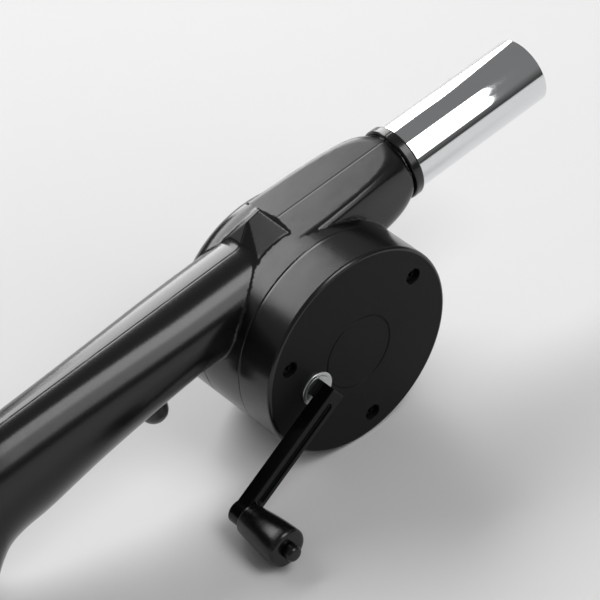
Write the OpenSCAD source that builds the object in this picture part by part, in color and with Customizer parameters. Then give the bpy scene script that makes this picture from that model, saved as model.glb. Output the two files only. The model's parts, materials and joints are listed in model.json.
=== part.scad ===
// Hand crank fan: a two-shell pistol handle and drum, a geared crank on one
// side, a centrifugal impeller inside and a steel outlet tube.
// Millimetres, +X to the outlet, +Z up. The origin is the middle of the flat
// back, on the fan's axis; the crank is on the -Y side.

/* [Drum] */
// Outer radius of the drum
drum_r = 39.6; // [38:0.1:46]
// Depth of the left shell, from the parting plane to the flat back
back_depth = 18; // [17:0.5:22]
// Depth of the right shell, from the parting plane to the cover's seam
seam_depth = 19.9; // [19:0.1:22]
// Depth from the parting plane to the flat face that carries the crank
face_depth = 35.4; // [34:0.1:40]
// Wall thickness of the moulded shells
wall = 2.2; // [1.8:0.1:2.6]
// Depth of the gear case, from the web behind the gears to the flat face
gear_case_deep = 20.4; // [19.8:0.1:20.8]
// Rounding of the drum's back edge
back_round = 7; // [3:0.5:8]
// Rounding of the cover's edge
face_round = 2.2; // [1:0.1:2.6]
// Radius of the plain ring pressed into the cover's face
ring_r = 14; // [10:0.5:16]
// Width of that ring's groove
ring_w = 0.7; // [0.4:0.1:1.2]
// Depth of that ring's groove
ring_d = 0.4; // [0.2:0.1:0.8]

/* [Neck and outlet tube] */
// Height of the tube's axis above the fan's axis
tube_z = 27.4; // [26:0.1:28]
// Outer radius of the tube
tube_r = 12.5; // [11.5:0.1:12.8]
// Wall thickness of the tube
tube_wall = 0.8; // [0.6:0.1:1.2]
// Length of tube that stands out of the collar
tube_reach = 59.8; // [40:0.2:120]
// Outer radius of the tube's stepped-down inner end
spigot_r = 10.2; // [9.6:0.1:10.3]
// Length of the stepped-down inner end
spigot_len = 13; // [10:0.5:16]
// Height of the rolled bead that holds the inner end
bead_h = 0.6; // [0.4:0.1:0.7]
// Distance from the fan's axis to the collar's groove
collar_x = 50.8; // [50:0.2:56]
// Length of the collar
collar_len = 4.7; // [4:0.1:7]
// Outer radius of the collar
collar_r = 13.7; // [13.5:0.1:15]
// Width of the groove between neck and collar
groove_w = 0.7; // [0.4:0.1:1]
// Radius of the neck where it meets the collar
neck_r = 13.1; // [12.9:0.1:13.4]
// Half width of the neck at the drum, crank side
neck_half_right = 16.4; // [15:0.1:16.6]
// Half width of the neck at the drum, back side
neck_half_left = 15.2; // [14:0.1:16]
// Squareness of the neck's section at the drum, where 1 is round
neck_square_share = 3.25; // [2:0.25:4]

/* [Handle] */
// Length from the fan's axis to the end of the handle
handle_len = 152; // [140:1:180]
// Height of the handle's top line above the fan's axis
handle_top = 38.5; // [37:0.1:38.8]
// Depth of the handle where it meets the drum
handle_deep = 31; // [28:0.5:34]
// Width of the handle where it meets the drum
handle_wide = 31; // [28:0.5:33]
// Fullness of the handle's section, where 1 is an ellipse
handle_full_share = 1.075; // [1:0.025:1.5]
// Distance from the fan's axis to the finger rest
rest_x = 62.4; // [56:0.1:70]
// Radius of the finger rest
rest_r = 5.2; // [4:0.2:7]
// Distance that the finger rest reaches below the fan's axis
rest_low = 7.6; // [2:0.1:10]

/* [Thumb guard] */
// Height of the guard's crest above the fan's axis
guard_top = 48.4; // [44:0.2:52]
// Length of the guard at its foot
guard_len = 20; // [16:0.5:24]
// Width of the guard at its foot
guard_wide = 16.8; // [16:0.2:22]
// Distance that the guard's foot reaches past the fan's axis
guard_front = 3; // [2:0.5:6]

/* [Crank] */
// Distance of the crank's axis behind the fan's, as a share of the case's inner radius
crank_back_share = 0.52; // [0.505:0.0005:0.525]
// Distance of the crank's axis below the fan's, as a share of the case's inner radius
crank_drop_share = 0.055; // [0.05:0.00005:0.1]
// Throw of the crank, from its axis to the knob's axis
crank_throw = 48.4; // [44:0.1:60]
// Angle of the crank at rest, seen from the crank side
crank_angle = 208.1; // [180:0.1:230]
// Width of the crank's arm
arm_w = 7; // [6:0.2:8]
// Thickness of the crank's arm
arm_t = 5.4; // [4:0.2:6]
// Gap between the cover's face and the arm
arm_gap = 3.2; // [3:0.2:6]
// Width across the square end that drives the gears
square_w = 6.2; // [5.6:0.1:6.4]
// Width of the channel in the arm's front
channel_w = 3.2; // [2:0.2:4]
// Depth of the channel in the arm's front
channel_d = 1; // [0.4:0.1:1.6]
// Length of the knob
knob_len = 20.2; // [16:0.2:26]
// Radius of the knob at the arm
knob_r_near = 5.6; // [5:0.1:6.5]
// Radius of the knob near its outer end
knob_r_far = 7.4; // [6.6:0.1:9]
// Rounding of the knob's outer edge
knob_round = 1.8; // [1:0.1:2.4]
// Radius of the pin that the knob turns on
knob_pin_r = 2; // [1.6:0.1:2.2]
// Radius of the pin's head
pin_head_r = 2.9; // [2.6:0.1:3.4]
// Height of the pin's head
pin_head_h = 3.4; // [2:0.1:4]

/* [Gears] */
// Teeth of the crank's gear
crank_teeth = 34; // [30:1:34]
// Teeth of both pinions
pinion_teeth = 12; // [12:1:13]
// Teeth of the idler's wheel
wheel_teeth = 36; // [33:1:37]
// Distance from crank to idler, as a share of the case's inner radius
slow_centres_share = 0.5; // [0.49:0.005:0.5]
// Distance from idler to fan, as a share of the case's inner radius
fast_centres_share = 0.4565; // [0.45:0.0005:0.465]
// Pressure angle of the teeth
pressure_angle = 25; // [25:1:27]
// Face width of the crank's gear
slow_face = 4.5; // [3.5:0.1:5]
// Face width of the idler's wheel
fast_face = 4; // [3:0.1:4.4]
// Play taken off each tooth's thickness
backlash = 0.1; // [0.06:0.01:0.16]

/* [Impeller] */
// Gap between the impeller and the posts round it
impeller_gap = 0.8; // [0.6:0.1:3]
// Gap between the impeller's vanes and the flat back's wall
vane_gap = 5.7; // [5.2:0.1:9]
// Number of vanes
vane_count = 10; // [6:1:12]
// Thickness of a vane
vane_t = 1.2; // [0.8:0.1:1.6]
// Radius of a vane's curve
vane_curve_r = 17; // [14:0.5:24]
// Radius at which the vanes begin
vane_eye_r = 11; // [9:0.5:13]

/* [Air intake] */
// Number of rings of slots in the back
slot_rings = 4; // [2:1:4]
// Slots in each ring
slots_per_ring = 6; // [4:1:8]
// Width of a slot
slot_w = 2.6; // [2:0.1:2.8]
// Distance from one ring of slots to the next
slot_pitch = 4.6; // [4.2:0.1:4.8]
// Width of the spokes between slots
spoke_w = 3; // [2.4:0.2:4]

/* [Shafts and bushes] */
// Radius of the fan's shaft and the idler's pin
shaft_r = 1.5; // [1.2:0.1:1.6]
// Radius of the crank's sleeve
sleeve_r = 5; // [4.8:0.1:5.1]
// Radius of the journal behind the crank's gear
journal_r = 2.5; // [2:0.1:3]
// Outer radius of the flange on the crank's bush
flange_r = 6.4; // [6.4:0.1:7.2]
// Wall thickness of the bushes
bush_wall = 1; // [0.9:0.1:1.2]

/* [Screws] */
// Radius of a screw's head
head_r = 2.5; // [2.2:0.1:2.6]
// Height of a screw's head
head_h = 1.7; // [1.4:0.1:2]
// Radius of a screw's shank
shank_r = 1.3; // [1.1:0.1:1.4]
// Radius of the recess over each cover screw
recess_r = 3; // [2.8:0.1:3.2]
// Depth of the recess over each cover screw
recess_d = 3.4; // [3:0.1:4]
// Distance of the cover's screws from the fan's axis, as a share of the inner radius
cover_screw_share = 0.84; // [0.84:0.001:0.86]
// Angles of the cover's screws, seen from the crank side
cover_screw_angles = [28, 154, 272];
// Distance of the drum's shell screws from the fan's axis, as a share of the inner radius
shell_screw_share = 0.87; // [0.865:0.001:0.88]
// Angles of the drum's shell screws, seen from the crank side
shell_screw_angles = [100, 212, 318];

/* [Fits] */
// Shadow gap along each seam between mouldings
seam_gap = 0.24; // [0.1:0.02:0.4]
// Radial clearance of a running shaft
run_fit = 0.05; // [0.03:0.01:0.08]
// Clearance of pieces that are pressed or slid together
press_fit = 0.03; // [0.01:0.01:0.05]
// Free gap between pieces that must not rub
free_gap = 0.7; // [0.5:0.1:0.9]

/* [Hidden] */
$fn = 96;

plastic = "#2b2c2e";
nylon = "#d9d6c8";
steel = "#b9bcc0";
bright = "#e2e4e6";
bronze = "#a8793f";

// One overrun serves every cut
cut = 1;
inner_r = drum_r - wall;
web_depth = face_depth - gear_case_deep;

// Depths through the gear case, from the parting plane toward the crank
fast_start = web_depth + wall + free_gap;
fast_end = fast_start + fast_face;
slow_start = fast_end + free_gap;
slow_end = slow_start + slow_face;
washer_t = 0.6;
washer_gap = 0.1;
bush_end = slow_end + washer_t + 2 * washer_gap;
cover_inside = face_depth - wall;
arm_inside = face_depth + arm_gap;
arm_outside = arm_inside + arm_t;
knob_start = arm_outside + free_gap / 2;
knob_end = knob_start + knob_len;
head_start = knob_end + free_gap / 2;

// Places of the axes in the plane of the drum, as [x, z]
crank_at = -inner_r * [crank_back_share, crank_drop_share];
fan_at = [0, 0];
slow_centres = inner_r * slow_centres_share;
fast_centres = inner_r * fast_centres_share;
slow_module = 2 * slow_centres / (crank_teeth + pinion_teeth);
fast_module = 2 * fast_centres / (wheel_teeth + pinion_teeth);
crank_fan = norm(fan_at - crank_at);
toward_fan = (fan_at - crank_at) / crank_fan;
idler_along = (slow_centres ^ 2 - fast_centres ^ 2 + crank_fan ^ 2) / (2 * crank_fan);
idler_aside = sqrt(slow_centres ^ 2 - idler_along ^ 2);
idler_at = crank_at + idler_along * toward_fan
    + idler_aside * [-toward_fan[1], toward_fan[0]];
knob_at = crank_at + crank_throw * [cos(crank_angle), sin(crank_angle)];

// Turn of each gear at rest, so that its teeth stand in the gaps they meet
function bearing(from, to) = atan2(to[1] - from[1], to[0] - from[0]);
function meshed(turn, teeth, mate_teeth, line) =
    line + 180 + (1 / 2 - (turn - line) * teeth / 360) * 360 / mate_teeth;
crank_turn = 0;
idler_turn = meshed(crank_turn, crank_teeth, pinion_teeth, bearing(crank_at, idler_at));
wheel_turn = idler_turn;
fan_turn = meshed(wheel_turn, wheel_teeth, pinion_teeth, bearing(idler_at, fan_at));

// Smooth curve through the rows of a table
function curve(a, b, c, d, s) =
    (2 * b + (c - a) * s + (2 * a - 5 * b + 4 * c - d) * s ^ 2
    + (3 * b - a - 3 * c + d) * s ^ 3) / 2;
function smooth(rows, steps) = let (last = len(rows) - 1) [
    for (i = [0:last - 1], j = [0:steps - 1])
        curve(rows[max(i - 1, 0)], rows[i], rows[i + 1], rows[min(i + 2, last)], j / steps),
    rows[last]];

// Half of a rounded section, from its foot round its side to its crest, as [y, z];
// full is 1 on an ellipse and more on a squarer section
half_turn = 180;
function half_section(half_w, low, high, flat, full, points) =
    let (mid = (high + low) / 2, half_h = (high - low) / 2, foot = -half_turn / 2,
        crest = flat >= high ? half_turn / 2 : asin(((flat - mid) / half_h) ^ full))
    [for (j = [0:points]) let (t = foot + (crest - foot) * j / points)
        [seam_gap / 2 + (half_w - seam_gap / 2) * max(cos(t), 0) ^ (1 / full),
        mid + half_h * sign(sin(t)) * abs(sin(t)) ^ (1 / full)],
    if (flat < high) [seam_gap / 2, flat]];

// Skin over sections, each [x, half section], closed at its ends and at the seam
module skin(sections) {
    n = len(sections[0][1]);
    rows = len(sections);
    points = [for (s = sections, p = s[1]) [s[0], p[0], p[1]]];
    sides = [for (i = [0:rows - 2], j = [0:n - 1])
        let (a = i * n + j, b = i * n + (j + 1) % n, c = a + n, d = b + n)
        each [[a, b, d], [a, d, c]]];
    near = [for (j = [1:n - 2]) [0, j + 1, j]];
    far = [for (j = [1:n - 2]) let (first = (rows - 1) * n) [first, first + j, first + j + 1]];
    faces = concat(sides, near, far);
    forward = sections[rows - 1][0] > sections[0][0];
    polyhedron(points, forward ? [for (f = faces) [f[2], f[1], f[0]]] : faces);
}

// Handle, as rows of [distance back, top, depth, width] in shares of its sizes
grip_shares = [
    [0.00, 1.000, 1.00, 1.00], [0.13, 0.990, 1.00, 1.00], [0.32, 0.977, 1.01, 0.985],
    [0.47, 0.966, 1.10, 0.95], [0.61, 0.956, 1.21, 0.92], [0.745, 0.946, 1.34, 0.915],
    [0.82, 0.938, 1.375, 0.915], [0.865, 0.930, 1.45, 0.915], [0.895, 0.915, 1.60, 0.91],
    [0.925, 0.885, 1.81, 0.90], [0.950, 0.835, 1.87, 0.87], [0.972, 0.74, 1.74, 0.80],
    [0.988, 0.60, 1.40, 0.66], [1.00, 0.33, 0.78, 0.34]];
hollow_shares = [for (r = grip_shares) if (r[0] > 0.3 && r[0] < 0.96) r];

module grip(rows, inset, steps, points)
    skin([for (r = smooth(rows, steps))
        let (top = r[1] * handle_top, low = top - r[2] * handle_deep)
        [-r[0] * handle_len, half_section(r[3] * handle_wide / 2 - inset,
            low + inset, top - inset, top, handle_full_share, points)]]);

// Neck, from the fan's axis to the collar: square and flat-topped to round
module neck(half_end, inset, start, end, steps, points)
    skin([for (i = [0:steps]) let (x = start + (end - start) * i / steps,
            s = max(1 - (x / collar_x) ^ neck_ease_share, 0))
        [x, half_section(neck_r + (half_end - neck_r) * s - inset,
            tube_z - neck_r + inset, tube_z + neck_r - inset,
            drum_r - inset, 1 + (neck_square_share - 1) * s, points)]]);
neck_ease_share = 1.5;

// Guard, as rows of [place, crest, shoulder out, shoulder up] in shares of its length,
// rise and half width: a steep hollow back, a short crest, then one flat that slopes
// down to a square front between two flat flanks
guard_shares = [
    [0.00, 0.17, 0.87, 0.06], [0.075, 0.26, 0.87, 0.075], [0.15, 0.36, 0.86, 0.12],
    [0.21, 0.52, 0.785, 0.195], [0.275, 0.73, 0.475, 0.51], [0.325, 0.86, 0.235, 0.755],
    [0.36, 0.925, 0.065, 0.91], [0.56, 1.00, 0.06, 0.97], [0.73, 0.69, 0.387, 0.615],
    [0.90, 0.38, 0.714, 0.29], [1.00, 0.18, 0.905, 0.10]];
guard_foot = drum_r - 2 * wall;

module guard()
    skin([for (r = guard_shares)
        let (rise = guard_top - guard_foot, half_w = guard_wide / 2)
        [guard_front - guard_len + r[0] * guard_len, [
            [seam_gap / 2, guard_foot], [half_w, guard_foot],
            [r[2] * half_w, guard_foot + r[3] * rise],
            [seam_gap / 2, guard_foot + r[1] * rise]]]]);

// Solids along the Y axis, at a place in the drum's plane, between two depths
// that count toward the crank from the parting plane
module across(at, from, to) translate([at[0], -from, at[1]])
    rotate([90, 0, 0]) linear_extrude(to - from) children();
module rod(r, at, from, to) across(at, from, to) circle(r);
module tube(r, bore, at, from, to) across(at, from, to) difference() {
    circle(r);
    circle(bore);
}
module at_parting() translate([0, -back_depth, 0]) children();

// The drum's places for screws
function on_circle(r, angle) = r * [cos(angle), sin(angle)];
shell_screw_r = inner_r * shell_screw_share;
cover_screws_at = [for (a = cover_screw_angles) on_circle(inner_r * cover_screw_share, a)];
drum_screws_at = [for (a = shell_screw_angles) on_circle(shell_screw_r, a)];
grip_screw_shares = [[0.40, 0.55], [0.83, 0.40]];
grip_screws_at = [for (s = grip_screw_shares) [-s[0] * handle_len, s[1] * handle_top]];
shell_screws_at = concat(drum_screws_at, grip_screws_at);

pilot_r = shank_r - 0.2 * shank_r;
shank_hole_r = shank_r + press_fit + run_fit;
post_r = 2.8;
boss_r = 4;
shell_head_depth = back_depth - wall - head_h;
grip_head_depth = shell_head_depth - 2 * wall;
grip_boss = handle_wide * 0.44;
thread_len = 9;
function head_depth(at) = at[0] < -drum_r ? grip_head_depth : shell_head_depth;

// Back of the drum, turned about its axis: the outer form and its hollow
module rounded_drum(r, deep, round_r) rotate([-90, 0, 0]) rotate_extrude() {
    difference() {
        square([r, deep]);
        translate([r - round_r, deep - round_r]) square(round_r + cut);
    }
    translate([r - round_r, deep - round_r]) intersection() {
        circle(round_r);
        square(round_r);
    }
}
module drum_back() rounded_drum(drum_r, back_depth, back_round);

// Heights and depths that the shells share
rest_top = handle_top - handle_deep;
collar_end = collar_x + collar_len;
collar_round = collar_r - neck_r;
collar_start = collar_x + groove_w;
seat_start = collar_start + groove_w;
neck_hollow_start = drum_r / 8;
spigot_start = seat_start - spigot_len;
tube_end = collar_end + tube_reach;
tube_seat_r = tube_r - tube_wall / 4;
bush_r = shaft_r + run_fit + bush_wall;
back_hub_r = bush_r + 2 * bush_wall;
back_bush_end = back_depth - 3 * wall;
bush_flange_t = 0.8;
web_boss = 1.6;
boss_start = web_depth - web_boss;

// Ring about the tube's axis, from points of [radius, distance along the tube]
module about_tube(points) translate([0, 0, tube_z]) rotate([90, 0, 90])
    rotate_extrude() polygon(points);

// Peg with a round end, under the handle
module finger_rest() translate([-rest_x, 0, -rest_low]) rotate_extrude() {
    translate([0, rest_r]) square([rest_r, rest_top + rest_low - rest_r]);
    intersection() {
        translate([0, rest_r]) circle(rest_r);
        square(rest_r);
    }
}

// What both shells share, drawn on the +Y side: walls of drum, handle and neck
outer_points = 22;
inner_points = 14;
module shell_outside(half_end) {
    grip(grip_shares, 0, 3, outer_points);
    neck(half_end, 0, 0, seat_start, inner_points, outer_points);
    guard();
    intersection() {
        finger_rest();
        translate([-rest_x - rest_r, seam_gap / 2, -rest_low])
            cube([2 * rest_r, rest_r, rest_top + rest_low]);
    }
    intersection() {
        about_tube([[spigot_r, collar_start], [collar_r - collar_round / 2, collar_start],
            [collar_r, collar_start + collar_round / 2], [collar_r, collar_end - collar_round],
            [collar_r - collar_round, collar_end], [spigot_r, collar_end]]);
        translate([0, seam_gap / 2, tube_z - collar_r]) cube(2 * [collar_end, collar_r, collar_r]);
    }
}

// Hollow of handle and neck, the tube's stepped seat with its bead groove, and
// the groove between neck and collar
module shell_inside(half_end) {
    grip(hollow_shares, wall, 2, inner_points);
    neck(half_end, wall, neck_hollow_start, spigot_start + wall, inner_points / 2, inner_points);
    about_tube([[0, spigot_start], [spigot_r + press_fit, spigot_start],
        [spigot_r + press_fit, spigot_start + 2 * wall],
        [spigot_r + bead_h + press_fit, spigot_start + 2 * wall],
        [spigot_r + bead_h + press_fit, spigot_start + 3 * wall],
        [spigot_r + press_fit, spigot_start + 3 * wall],
        [spigot_r + press_fit, seat_start],
        [tube_seat_r + press_fit, seat_start], [tube_seat_r + press_fit, collar_end + cut],
        [0, collar_end + cut]]);
    about_tube([[neck_r - groove_w, collar_x], [collar_r + cut, collar_x],
        [collar_r + cut, collar_start], [neck_r - groove_w, collar_start]]);
}

// Slots of the air intake in the flat back
first_slot_r = back_hub_r + slot_pitch - slot_w;
module intake_slots() for (k = [0:slot_rings - 1], i = [0:slots_per_ring - 1]) {
    r = first_slot_r + k * slot_pitch;
    spoke = 2 * asin(spoke_w / 2 / r);
    step = 360 / slots_per_ring;
    translate([0, back_depth - wall - cut, 0]) rotate([-90, i * step + spoke / 2, 0])
        rotate_extrude(angle = step - spoke)
            translate([r, 0]) square([slot_w, wall + 2 * cut]);
}

module left_shell() color(plastic) at_parting() difference() {
    union() {
        difference() {
            union() {
                drum_back();
                shell_outside(neck_half_left);
            }
            rod(drum_r + cut, fan_at, -seam_gap / 2, cut);
            rounded_drum(inner_r, back_depth - wall, back_round - wall);
            shell_inside(neck_half_left);
        }
        intersection() {
            drum_back();
            for (p = drum_screws_at) rod(boss_r, p, -back_depth + wall / 2, 0);
        }
        for (p = grip_screws_at) rod(boss_r, p, -grip_boss, 0);
        rod(back_hub_r, fan_at, -back_depth + wall / 2, -back_bush_end);
    }
    intake_slots();
    rod(bush_r + press_fit, fan_at, wall - back_depth, 0);
    for (p = shell_screws_at) {
        rod(shank_hole_r, p, -back_depth - cut, cut);
        rod(head_r + free_gap / 2, p, -back_depth - cut, -head_depth(p));
    }
}

module right_shell() color(plastic) at_parting() difference() {
    union() {
        difference() {
            union() {
                rod(drum_r, fan_at, seam_gap / 2, seam_depth - seam_gap / 2);
                mirror([0, 1, 0]) shell_outside(neck_half_right);
            }
            rod(inner_r, fan_at, -cut, web_depth);
            rod(inner_r, fan_at, web_depth + wall, seam_depth + cut);
            mirror([0, 1, 0]) shell_inside(neck_half_right);
        }
        for (p = drum_screws_at) rod(post_r, p, 0, web_depth + wall / 2);
        for (p = grip_screws_at) rod(post_r, p, 0, grip_boss);
        for (p = cover_screws_at) rod(post_r, p, web_depth + wall / 2, post_end);
        for (p = [fan_at, crank_at, idler_at])
            rod(journal_r + 2 * wall, p, boss_start, web_depth + wall / 2);
    }
    for (p = shell_screws_at) rod(pilot_r, p, -cut, thread_len + cut);
    for (p = cover_screws_at) rod(pilot_r, p, web_depth + wall, post_end + cut);
    rod(bush_r + press_fit, fan_at, boss_start - cut, web_depth + wall + cut);
    rod(journal_r + run_fit, crank_at, boss_start + bush_flange_t, web_depth + wall + cut);
    rod(shaft_r + press_fit, idler_at, boss_start + bush_flange_t, web_depth + wall + cut);
}

// Cover of the gear case: a cup with a lip that enters the right shell
cup_end = face_depth - recess_d - wall;
post_end = cup_end;
lip_len = 2;
lip_t = 1.4;
lip_r = inner_r - lip_t;
sleeve_bush_r = sleeve_r + run_fit + bush_wall;
flange_t = 0.6;
module gear_cover() color(plastic) at_parting() difference() {
    union() {
        rotate([90, 0, 0]) rotate_extrude() polygon([
            [0, cover_inside], [lip_r, cover_inside], [lip_r, seam_depth - lip_len],
            [inner_r - press_fit, seam_depth - lip_len],
            [inner_r - press_fit, seam_depth + seam_gap / 2],
            [drum_r, seam_depth + seam_gap / 2], each [for (a = [0:15:90])
                [drum_r - face_round * (1 - cos(a)), face_depth - face_round * (1 - sin(a))]],
            [0, face_depth]]);
        for (p = cover_screws_at) rod(recess_r + wall / 2, p, cup_end, cover_inside + wall / 2);
        rod(sleeve_bush_r + wall, crank_at, bush_end, cover_inside + wall / 2);
        rod(shaft_r + wall, idler_at, bush_end, cover_inside + wall / 2);
    }
    for (p = cover_screws_at) {
        rod(recess_r, p, face_depth - recess_d, face_depth + cut);
        rod(shank_hole_r, p, cup_end - cut, face_depth);
    }
    rod(sleeve_bush_r + press_fit, crank_at, bush_end - cut, face_depth + cut);
    rod(shaft_r + press_fit, idler_at, bush_end - cut, cover_inside);
    tube(ring_r + ring_w / 2, ring_r - ring_w / 2, fan_at, face_depth - ring_d, face_depth + cut);
}

module crank_bush() color(bright) at_parting() difference() {
    union() {
        rod(sleeve_bush_r, crank_at, bush_end, face_depth + flange_t);
        rod(flange_r, crank_at, face_depth, face_depth + flange_t);
    }
    rod(sleeve_r + run_fit, crank_at, bush_end - cut, face_depth + flange_t + cut);
}

// Sleeve that the square end turns: a flat carries the gear, a journal the web
flat_cut = 0.6;
socket_end = slow_start + slow_face / 2;
sleeve_top = face_depth + flange_t + washer_gap;
module flatted(clear) intersection() {
    circle(sleeve_r + clear);
    translate([-sleeve_r - cut, -sleeve_r - cut])
        square([2 * sleeve_r + cut - flat_cut + clear, 2 * (sleeve_r + cut)]);
}
module crank_sleeve() color(bright) at_parting() difference() {
    union() {
        rod(sleeve_r, crank_at, slow_end, sleeve_top);
        across(crank_at, slow_start, slow_end) flatted(0);
        rod(journal_r, crank_at, boss_start + bush_flange_t + washer_gap, slow_start);
    }
    across(crank_at, socket_end, sleeve_top + cut) rotate(crank_angle)
        square(square_w + 2 * press_fit, center = true);
}

module crank_washer() color(bronze) at_parting()
    tube(sleeve_bush_r + wall / 2, sleeve_r + run_fit, crank_at,
        slow_end + washer_gap, slow_end + washer_gap + washer_t);

// Involute gear outline, in the drum's plane
function involute(angle) = tan(angle) * 180 / PI - angle;
function tooth_half(r, base_r, pitch_r, teeth) = 90 / teeth
    - backlash / 2 / pitch_r * 90 / PI + involute(pressure_angle)
    - involute(acos(min(base_r / r, 1)));
flank_steps = 5;
module gear(teeth, mod, turn) {
    pitch_r = mod * teeth / 2;
    base_r = pitch_r * cos(pressure_angle);
    root_r = pitch_r - 1.25 * mod;
    tip_r = pitch_r + mod;
    start_r = max(base_r, root_r);
    flank = [for (i = [0:flank_steps]) let (r = start_r + (tip_r - start_r) * i / flank_steps)
        [r, tooth_half(r, base_r, pitch_r, teeth)]];
    foot = [root_r, flank[0][1]];
    side = concat([foot], flank);
    last = len(side) - 1;
    polygon([for (k = [0:teeth - 1]) let (middle = turn + k * 360 / teeth)
        each concat(
            [for (i = [0:last]) on_circle(side[i][0], middle - side[i][1])],
            [for (i = [last:-1:0]) on_circle(side[i][0], middle + side[i][1])])]);
}

gear_holes = 5;
module crank_gear() color(nylon) at_parting() across(crank_at, slow_start, slow_end)
    difference() {
        gear(crank_teeth, slow_module, crank_turn);
        flatted(press_fit);
        hole_r = (slow_module * crank_teeth / 2 - sleeve_r) / 5;
        for (i = [0:gear_holes - 1]) rotate(i * 360 / gear_holes)
            translate([(sleeve_r + slow_module * crank_teeth / 2) / 2, 0]) circle(hole_r);
    }

module idler_gear() color(nylon) at_parting() {
    across(idler_at, fast_start, fast_end) difference() {
        gear(wheel_teeth, fast_module, wheel_turn);
        circle(shaft_r + run_fit);
    }
    across(idler_at, fast_end, slow_end) difference() {
        gear(pinion_teeth, slow_module, idler_turn);
        circle(shaft_r + run_fit);
    }
}

pin_end = bush_end + 2 * wall - washer_gap;
module idler_pin() color(steel) at_parting()
    rod(shaft_r, idler_at, boss_start + bush_flange_t + washer_gap, pin_end);

module idler_washer() color(bronze) at_parting()
    tube(shaft_r + wall, shaft_r + run_fit, idler_at,
        slow_end + washer_gap, slow_end + washer_gap + washer_t);

module fan_pinion() color(nylon) at_parting() across(fan_at, fast_start, fast_end)
    difference() {
        gear(pinion_teeth, fast_module, fan_turn);
        circle(shaft_r + press_fit);
    }

shaft_back = back_depth - wall - washer_gap;
module fan_shaft() color(steel) at_parting()
    rod(shaft_r, fan_at, -shaft_back, fast_end + free_gap);

module flanged_bush(from, to, flange_from) at_parting() color(bronze) difference() {
    union() {
        rod(bush_r, fan_at, from, to);
        rod(bush_r + bush_wall, fan_at, flange_from, flange_from + bush_flange_t);
    }
    rod(shaft_r + run_fit, fan_at, min(from, flange_from) - cut, max(to, flange_from) + 2 * cut);
}
module front_bush()
    flanged_bush(boss_start, web_depth + wall, boss_start - bush_flange_t);
module back_bush()
    flanged_bush(washer_gap - back_depth + wall, -back_bush_end, -back_bush_end);

// Impeller: a disc, a hub and vanes curved backward
disc_t = 1.4;
disc_front = boss_start - bush_flange_t - free_gap;
disc_back = disc_front - disc_t;
hub_r = shaft_r + 1.4 * wall;
vane_deep = disc_back + back_depth - wall - vane_gap;
hub_end = vane_deep - disc_back - free_gap;
impeller_r = shell_screw_r - boss_r - impeller_gap;
vane_end_r = impeller_r - vane_t / 2;
module vane() intersection() {
    difference() {
        circle(vane_end_r);
        circle(vane_eye_r);
    }
    translate([vane_eye_r, -vane_curve_r]) difference() {
        circle(vane_curve_r + vane_t / 2);
        circle(vane_curve_r - vane_t / 2);
    }
    translate([0, -vane_curve_r]) square([impeller_r, 2 * vane_curve_r]);
}
module impeller() color("#3a3c3f") at_parting() difference() {
    union() {
        rod(impeller_r, fan_at, disc_back, disc_front);
        rod(hub_r, fan_at, -hub_end, disc_front);
        across(fan_at, disc_back - vane_deep, disc_back)
            for (i = [0:vane_count - 1]) rotate(i * 360 / vane_count) vane();
    }
    rod(shaft_r + press_fit, fan_at, -hub_end - cut, disc_front + cut);
}

module impeller_clip() color(steel) at_parting()
    across(fan_at, -hub_end - washer_gap - washer_t, -hub_end - washer_gap) difference() {
        circle(hub_r - wall / 2);
        circle(shaft_r + press_fit);
        translate([0, -shaft_r / 2]) square([hub_r, shaft_r]);
    }

// Outlet tube: swaged a little inside the collar, then stepped down and beaded; its
// mouth is open
bead_start = spigot_start + 2 * wall + washer_gap;
step_start = seat_start + washer_gap;
module outlet_tube() color(bright) at_parting() about_tube([
    [spigot_r - tube_wall, spigot_start], [spigot_r, spigot_start],
    [spigot_r, bead_start], [spigot_r + bead_h, bead_start + bead_h],
    [spigot_r, bead_start + 2 * bead_h], [spigot_r, step_start],
    [tube_r - tube_wall, step_start], [tube_seat_r, step_start + tube_wall],
    [tube_seat_r, collar_end + washer_gap], [tube_r, collar_end + washer_gap], [tube_r, tube_end],
    [tube_r - tube_wall, tube_end], [tube_r - tube_wall, step_start + 2 * tube_wall],
    [spigot_r - tube_wall, step_start + tube_wall]]);

// Crank arm: a square end, a channelled bar and a round eye for the knob's pin
arm_end_r = arm_w * 0.64;
module crank_arm() color(plastic) at_parting() difference() {
    union() {
        across(crank_at, arm_inside, arm_outside) rotate(crank_angle) {
            translate([-square_w / 2, -arm_w / 2]) square([crank_throw + square_w / 2, arm_w]);
            translate([crank_throw, 0]) circle(arm_end_r);
        }
        across(crank_at, socket_end + washer_gap, arm_inside + arm_t / 2) rotate(crank_angle)
            square(square_w, center = true);
    }
    across(crank_at, arm_outside - channel_d, arm_outside + cut) rotate(crank_angle) {
        channel_end = crank_throw - knob_r_near - channel_w / 2;
        translate([square_w / 2, -channel_w / 2]) square([channel_end - square_w / 2, channel_w]);
        for (x = [square_w / 2, channel_end]) translate([x, 0]) circle(channel_w / 2);
    }
    rod(knob_pin_r + press_fit, knob_at, arm_inside - cut, arm_outside + cut);
}

module knob_pin() color("#1d1e20") at_parting() {
    rod(knob_pin_r, knob_at, arm_inside + washer_gap, head_start + washer_gap);
    translate([knob_at[0], -head_start, knob_at[1]]) rotate([90, 0, 0]) rotate_extrude() {
        square([pin_head_r, pin_head_h - pin_head_r / 3]);
        square([pin_head_r * 2 / 3, pin_head_h]);
        translate([pin_head_r * 2 / 3, pin_head_h - pin_head_r / 3]) intersection() {
            circle(pin_head_r / 3);
            square(pin_head_r / 3);
        }
    }
}

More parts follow.
